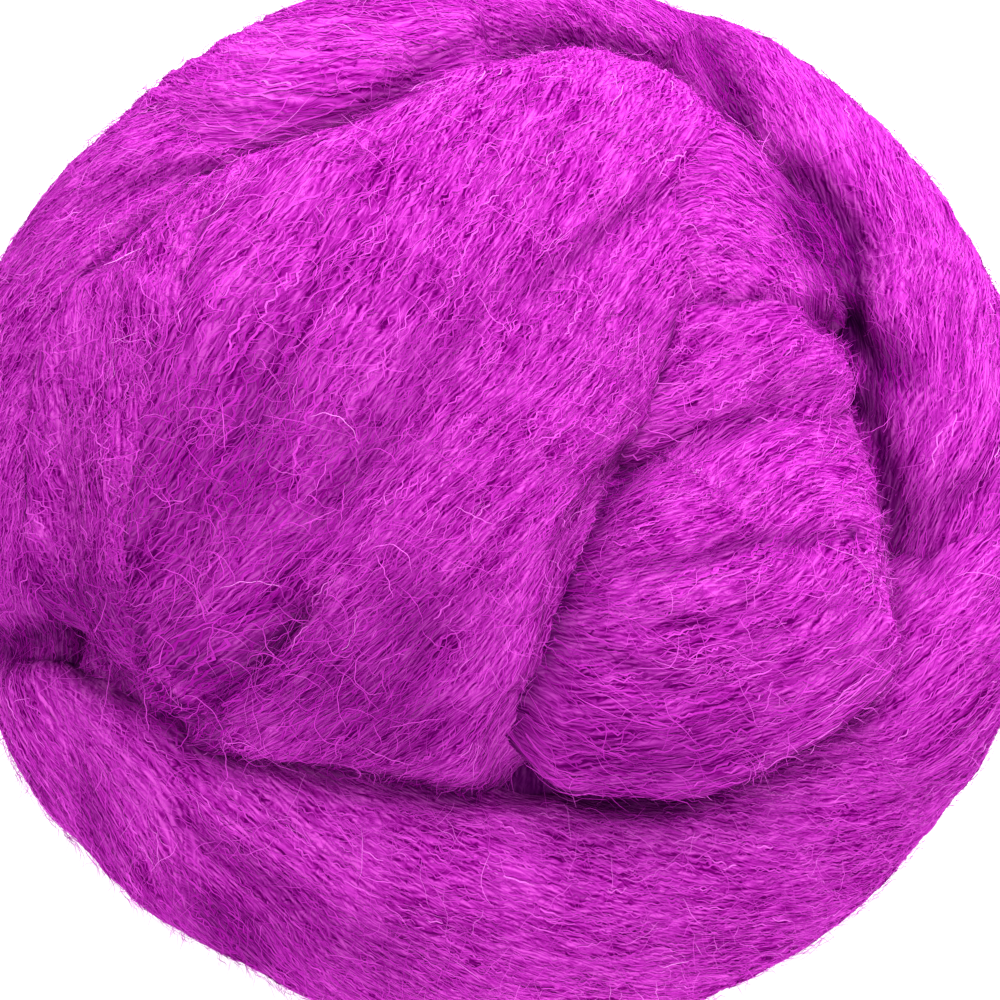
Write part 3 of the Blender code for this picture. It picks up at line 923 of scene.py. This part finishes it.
def paintCombedWool(tree, look):  # dyed merino top: matt, in fine waved parallel fibres
    care = addNode(tree, "SeparateXYZ", {0: uvMap(tree, "patchAndShadeMap")})
    first, second = fibreTone(tree, "fibreMap", look), fibreTone(tree, "secondFibreMap", look)
    # the two sets of patches meet between single fibres
    tip = maths(tree, "MULTIPLY_ADD", maths(tree, "SUBTRACT", first, second), 0.25, care.outputs[0])
    share = addNode(tree, "MapRange", {0: tip, 1: 0.4, 2: 0.6}).outputs[0]
    tone = addNode(tree, "Mix", {0: share, 2: second, 3: first}).outputs[0]
    ramp = addNode(tree, "ValToRGB", {0: tone})
    fillRamp(ramp, look["colours"])
    # painted shade: the colour fades towards the painted shade colour where the map's second value,
    # the surveyed shade, is low
    shaded = addNode(tree, "Mix", {
        0: care.outputs[1], 6: linear(look["paintedShadeColour"]), 7: ramp.outputs[0],
    }, data_type="RGBA").outputs[2]
    bump = addNode(tree, "Bump", {"Height": tone, "Distance": look["bump"] * mm, "Strength": 1.0})
    return {"Base Color": shaded, "Normal": bump.outputs[0]}


looseFibre = {
    # tones of the one dye that differ at random from fibre to fibre; their pale end is painted light
    # and sheen on fibres that lie on top
    "colours": ["4c0048", "5e005a", "70076c", "7f0f7b", "8c1a88", "9a2295", "a82ca2", "b438ae",
                "bf47b9", "c95ac3", "d26fcc", "da86d5"],
    "roughness": 0.9,
    "specular": 0.0,
}


def paintLooseFibre(tree, look):  # one merino fibre: the same dye, its tone set by its own map, paler as painted light and sheen, darker as painted shade in creases
    split = addNode(tree, "SeparateXYZ", {0: uvMap(tree, "OFBake")})
    ramp = addNode(tree, "ValToRGB", {0: split.outputs[0]})
    ramp.color_ramp.interpolation = "CONSTANT"
    tones = len(look["colours"])
    fillRamp(ramp, [(index / tones, colour) for index, colour in enumerate(look["colours"])])
    return {"Base Color": ramp.outputs[0]}


# Loose fibres

lyingFibres = {
    "length": (3, 7),  # mm
    "width": (0.1, 0.19),  # mm, coarser than a real fibre so that it shows
    "crimpLength": (1.3, 2.2),  # mm
    "segments": 11,
    "lift": (0.03, 0.16),  # mm over the skin, at its middle
    "firstLift": (-0.2, 0.0),
    "lastLift": (-0.2, 0.0),
    "roll": 25,  # degrees
    "curl": 3.0,  # degrees for each mm
    "tone": (5.6, 1.25),  # mean and spread, in steps of the fibres' colours
}
fuzz = dict(
    lyingFibres, width=(0.05, 0.08), crimpLength=(2.4, 4.5), segments=8, lift=(0.2, 0.9),
    lastLift=(0.4, 2.2), roll=60, curl=7.0, tone=(6.2, 1.4))
rimFuzz = dict(  # a fringe that softens the outline, its paler tones painted sheen
    fuzz, length=(1.5, 4.5), width=(0.04, 0.08), segments=4, lastLift=(0.5, 2.2), tone=(7.8, 1.2))
fuzzShare = 0.42  # of the lying fibres
fuzzSpread = 40  # degrees
rimFuzzSpread = 50
fibreForm = {
    "wanderShare": 0.5,  # of the angle spread
    "wanderLength": 2.4 * mm,
    "crimpRange": (0.3, 1.5),  # of the turn's crimp
    "ripple": 0.04 * mm,  # rise and fall over the skin, and its length
    "rippleLength": 1.1 * mm,
    "tipWidth": 0.35,  # of the full width
    "shadeShare": 0.75,  # how far the painted shade of a crease darkens a fibre
    "mapAcross": (0.15, 0.85),  # of its tone's strip of the colours
    "mapAlong": (0.02, 0.98),
}


def tapered(part, tip):  # width along a fibre, as a share of its full width
    return tip + (1 - tip) * np.sin(pi * part) ** 0.5


def growFibres(turn, count, style, angleSpread):
    weights = turn["rimWeights" if style is rimFuzz else "openWeights"]
    picks = chance.choice(len(weights), count, p=weights)
    cell = turn["openCell"]
    around, along = [places[picks] for places in turn["openPlaces"]]
    startX = (around + chance.uniform(-0.5, 0.5, count) * cell[0]) * turn["girth"]
    startY = (along + chance.uniform(-0.5, 0.5, count) * cell[1]) * turn["length"]
    length = chance.uniform(*style["length"], count) * mm
    segments = style["segments"]
    step = length / segments
    own = np.radians(chance.normal(0, angleSpread, count))
    curl = np.radians(chance.normal(0, style["curl"], count)) / mm
    wander = np.radians(angleSpread * fibreForm["wanderShare"])
    wanderPhase = chance.uniform(0, 2 * pi, count)
    x, y, heading = (np.empty((count, segments + 1)) for _ in range(3))
    x[:, 0] = startX
    y[:, 0] = startY
    for index in range(segments + 1):
        run = index * step - length / 2
        lean = leanAt(turn, x[:, index] / turn["girth"], y[:, index] / turn["length"])
        wandered = wander * np.sin(run / fibreForm["wanderLength"] + wanderPhase)
        heading[:, index] = lean + own + curl * run + wandered
        if index < segments:
            x[:, index + 1] = x[:, index] + np.sin(heading[:, index]) * step
            y[:, index + 1] = y[:, index] + np.cos(heading[:, index]) * step
    half = segments // 2
    x += (startX - x[:, half])[:, None]
    y += (startY - y[:, half])[:, None]
    part = np.linspace(0, 1, segments + 1)[None, :]
    run = (part - 0.5) * length[:, None]
    beat = (chance.uniform(*style["crimpLength"], count) * mm)[:, None]
    wave = np.sin(2 * pi * run / beat + chance.uniform(0, 2 * pi, (count, 1)))
    wave = wave * chance.uniform(*fibreForm["crimpRange"], (count, 1)) * turn["crimp"] * mm
    x = x + wave * np.cos(heading)
    y = y - wave * np.sin(heading)
    middleLift, firstLift, lastLift = [
        chance.uniform(*style[name], (count, 1)) * mm for name in ("lift", "firstLift", "lastLift")]
    arch = np.sin(pi * part) ** 0.7
    lift = middleLift * arch + (firstLift * (1 - part) + lastLift * part) * (1 - arch)
    ripple = np.sin(run / fibreForm["rippleLength"] + wanderPhase[:, None] * 3)
    lift = lift + fibreForm["ripple"] * ripple
    tangentX, tangentY = np.gradient(x, axis=1), np.gradient(y, axis=1)
    size = np.hypot(tangentX, tangentY)
    width = chance.uniform(*style["width"], (count, 1)) * mm * tapered(part, fibreForm["tipWidth"])
    roll = np.radians(chance.uniform(-style["roll"], style["roll"], (count, 1)))
    fullness = np.interp(y / turn["length"], *turn["fullness"])
    edges = []
    for side in (-0.5, 0.5):
        edgeX = x + side * width * np.cos(roll) * tangentY / size / fullness
        edgeY = y - side * width * np.cos(roll) * tangentX / size
        edgeLift = lift + side * width * np.sin(roll)
        edges.append(skinPoint(turn, edgeX / turn["girth"], edgeY / turn["length"], edgeLift))
    # painted shade: fibres that start in a crease get darker tones
    shade = paintedShadeAt(turn, startX / turn["girth"], startY / turn["length"])
    tones = chance.normal(*style["tone"], count) * (1 - fibreForm["shadeShare"] * (1 - shade))
    return np.stack(edges, axis=2), tones  # fibre, step, edge, xyz


def joinFibres(name, batches, material):
    allPoints, allFaces, allMaps, start = [], [], [], 0
    toneCount = len(looseFibre["colours"])
    for points, tones in batches:
        count, steps = points.shape[:2]
        index = start + np.arange(count * steps * 2).reshape(count, steps, 2)
        corners = index[:, :-1, 0], index[:, :-1, 1], index[:, 1:, 1], index[:, 1:, 0]
        quads = np.stack(corners, axis=-1)
        tones = np.clip(np.round(tones), 0, toneCount - 1)[:, None, None]
        across = (tones + np.array(fibreForm["mapAcross"])[None, None, :]) / toneCount
        part = np.linspace(*fibreForm["mapAlong"], steps)[None, :, None]
        across, part, _ = np.broadcast_arrays(across, part, np.zeros((count, steps, 2)))
        allPoints.append(points.reshape(-1, 3))
        allFaces.append(quads.reshape(-1, 4))
        allMaps.append(np.stack([across, part], axis=-1).reshape(-1, 2))
        start += count * steps * 2
    faces = np.concatenate(allFaces)
    data = meshOf(np.concatenate(allPoints), faces, name)
    addMap(data, "OFBake", np.concatenate(allMaps)[faces.ravel()])
    print(f"{name}: {len(faces) * 2} triangles")
    return addPiece(data, material)


# Stray fibres arch over the creases from one turn to the next, and tangles blur the matted side.
strays = {
    "towards": (0, 0, 0),  # where they are thickest, from the centre
    "count": 420,
    "length": (4, 10),  # mm
    "width": (0.06, 0.09),
    "segments": 18,
    "arch": (0.2, 1.2),  # mm over the skin below
    "curl": 11.0,  # degrees for each mm
    "wobble": (0.15, 0.5),  # radians from step to step
    "wobbleRate": 1.3,
    "roll": 1.2,  # radians
    "tipWidth": 0.4,
    "tone": (6.2, 1.4),
}
tangles = dict(
    strays, towards=(-2.2, -0.5, 3.0), count=420, length=(5, 11), width=(0.07, 0.11),
    arch=(0.1, 0.6), curl=22.0, tone=(5.6, 1.3))
creaseTangles = dict(tangles, towards=(-2.6, -2.6, 3.2), count=160)


meanRadius = 60 * mm
farOutside = 120 * mm  # from the centre
rayReach = 200 * mm


def growStrays(tree, style):
    count, steps = style["count"], style["segments"] + 1
    direction = unit(np.array(style["towards"]) + chance.normal(size=(count, 3)))
    axis = unit(np.cross(direction, chance.normal(size=(count, 3))))
    length = chance.uniform(*style["length"], count) * mm
    curl = np.radians(chance.normal(0, style["curl"], count)) / mm
    wobble, phase = chance.uniform(*style["wobble"], count), chance.uniform(0, 2 * pi, count)
    path = np.empty((count, steps, 3))
    height = np.empty((count, steps))
    for index in range(steps):
        path[:, index] = direction
        for each in range(count):
            outside = Vector(centre + direction[each] * farOutside)
            found = tree.ray_cast(outside, Vector(-direction[each]), rayReach)[3]
            height[each, index] = meanRadius if found is None else farOutside - found
        step = length / (steps - 1)
        angle = curl * step + wobble * np.sin(phase + index * style["wobbleRate"])
        turned = np.cross(direction, axis) * np.sin(angle)[:, None]
        axis = unit(axis * np.cos(angle)[:, None] + turned)
        direction = unit(direction + np.cross(axis, direction) * (step / meanRadius)[:, None])
        axis = unit(axis - direction * (axis * direction).sum(axis=1, keepdims=True))
    part = np.linspace(0, 1, steps)[None, :]
    chord = height[:, :1] * (1 - part) + height[:, -1:] * part
    arch = chance.uniform(*style["arch"], count)[:, None] * mm * np.sin(pi * part) ** 0.8
    height = np.maximum(chord, height) + arch
    for _ in range(3):
        height[:, 1:-1] = (height[:, :-2] + 2 * height[:, 1:-1] + height[:, 2:]) / 4
    spine = centre + path * height[:, :, None]
    tangent = unit(np.gradient(spine, axis=1))
    side = unit(np.cross(tangent, path))
    roll = chance.uniform(-style["roll"], style["roll"], count)[:, None, None]
    side = side * np.cos(roll) + path * np.sin(roll)
    width = chance.uniform(*style["width"], count)[:, None] * tapered(part, style["tipWidth"])
    offset = side * width[:, :, None] * mm / 2
    points = np.stack([spine + offset, spine - offset], axis=2)
    points[..., 2] = np.maximum(points[..., 2], 0.2 * mm)
    return points, chance.normal(*style["tone"], count)


# Camera, light and floor
view = {
    "elevation": 76,  # degrees
    "distance": 0.6,
    "lens": 167.3,
    "aim": (0.0005, 0, 0.043),
}
camera = addObject("camera", bpy.data.cameras.new("camera"))
aim = Vector(view["aim"])
elevation = radians(view["elevation"])
camera.location = aim + Vector((0, -cos(elevation), sin(elevation))) * view["distance"]
camera.rotation_euler = (aim - camera.location).to_track_quat("-Z", "Y").to_euler()
camera.data.lens = view["lens"]
camera.data.sensor_width = 36
camera.data.clip_start = 0.01
bpy.context.scene.camera = camera
bpy.context.scene.view_settings.view_transform = "Standard"

studio = {
    "keyLight": {"place": (0.29, 0.79, 0.49), "size": 0.6, "power": 20},
    "fillLight": {"place": (0.0, -0.8, 0.45), "size": 0.7, "power": 4.8},
}
sky = {"colour": "ffffff", "strength": 1.5}
for name, look in studio.items():
    lamp = addObject(name, bpy.data.lights.new(name, "AREA"))
    lamp.data.energy = look["power"]
    lamp.data.size = look["size"]
    lamp.location = look["place"]
    lamp.rotation_euler = (aim - lamp.location).to_track_quat("-Z", "Y").to_euler()
world = bpy.data.worlds.new("studio")
bpy.context.scene.world = world
world.use_nodes = True
world.node_tree.nodes["Background"].inputs[0].default_value = linear(sky["colour"])
world.node_tree.nodes["Background"].inputs[1].default_value = sky["strength"]

whitePaper = {"colour": "fbfbfc", "roughness": 0.9, "specular": 0.5}


def paintPlain(tree, look):
    return {"Base Color": linear(look["colour"])}


floorMesh = bmesh.new()
bmesh.ops.create_grid(floorMesh, x_segments=1, y_segments=1, size=2.0)
floor = addObject("floor", fromBmesh(floorMesh, "floor"))
floor.data.materials.append(makeMaterial("whiteFloor", whitePaper, paintPlain))
print("camera, lights and floor set")

# The nest itself
combed = makeMaterial("combedMerino", combedWool, paintCombedWool)
matted = makeMaterial("mattedMerino", mattedWool, paintCombedWool)
fibre = makeMaterial("merinoFibre", looseFibre, paintLooseFibre)

for number, turn in enumerate(turns):
    setUp(turn, number)
for turn in turns:
    surveyCreases(turn)
for turn in turns:
    turn["grooves"] = turn["newGrooves"]
print("creases found")

tree = roughTree(turns, 1.6 * mm)
for turn in turns:
    surveyOpenness(turn, tree)
print("shade surveyed")

skins = []
for turn in turns:
    skin = makeSkin(turn, matted if turn["matted"] else combed)
    mapSkin(turn, skin.data)
    skins.append(skin)
makeCore(combed)
print("turns made:", sum(len(skin.data.polygons) for skin in skins) * 2, "triangles")

for turn in turns:
    count = round(turn["openArea"] / 1e-4 * turn["density"])
    if count:
        lying = growFibres(turn, count, lyingFibres, turn["angleSpread"])
        standing = growFibres(turn, round(count * fuzzShare), fuzz, fuzzSpread)
        rimCount = round(count * fuzzShare * turn["rimShare"] * 2)
        fringe = growFibres(turn, rimCount, rimFuzz, rimFuzzSpread)
        joinFibres(turn["name"] + "Fibres", [lying, standing, fringe], fibre)
strayStyles = strays, tangles, creaseTangles
joinFibres("strayFibres", [growStrays(tree, style) for style in strayStyles], fibre)
print("fibres laid")
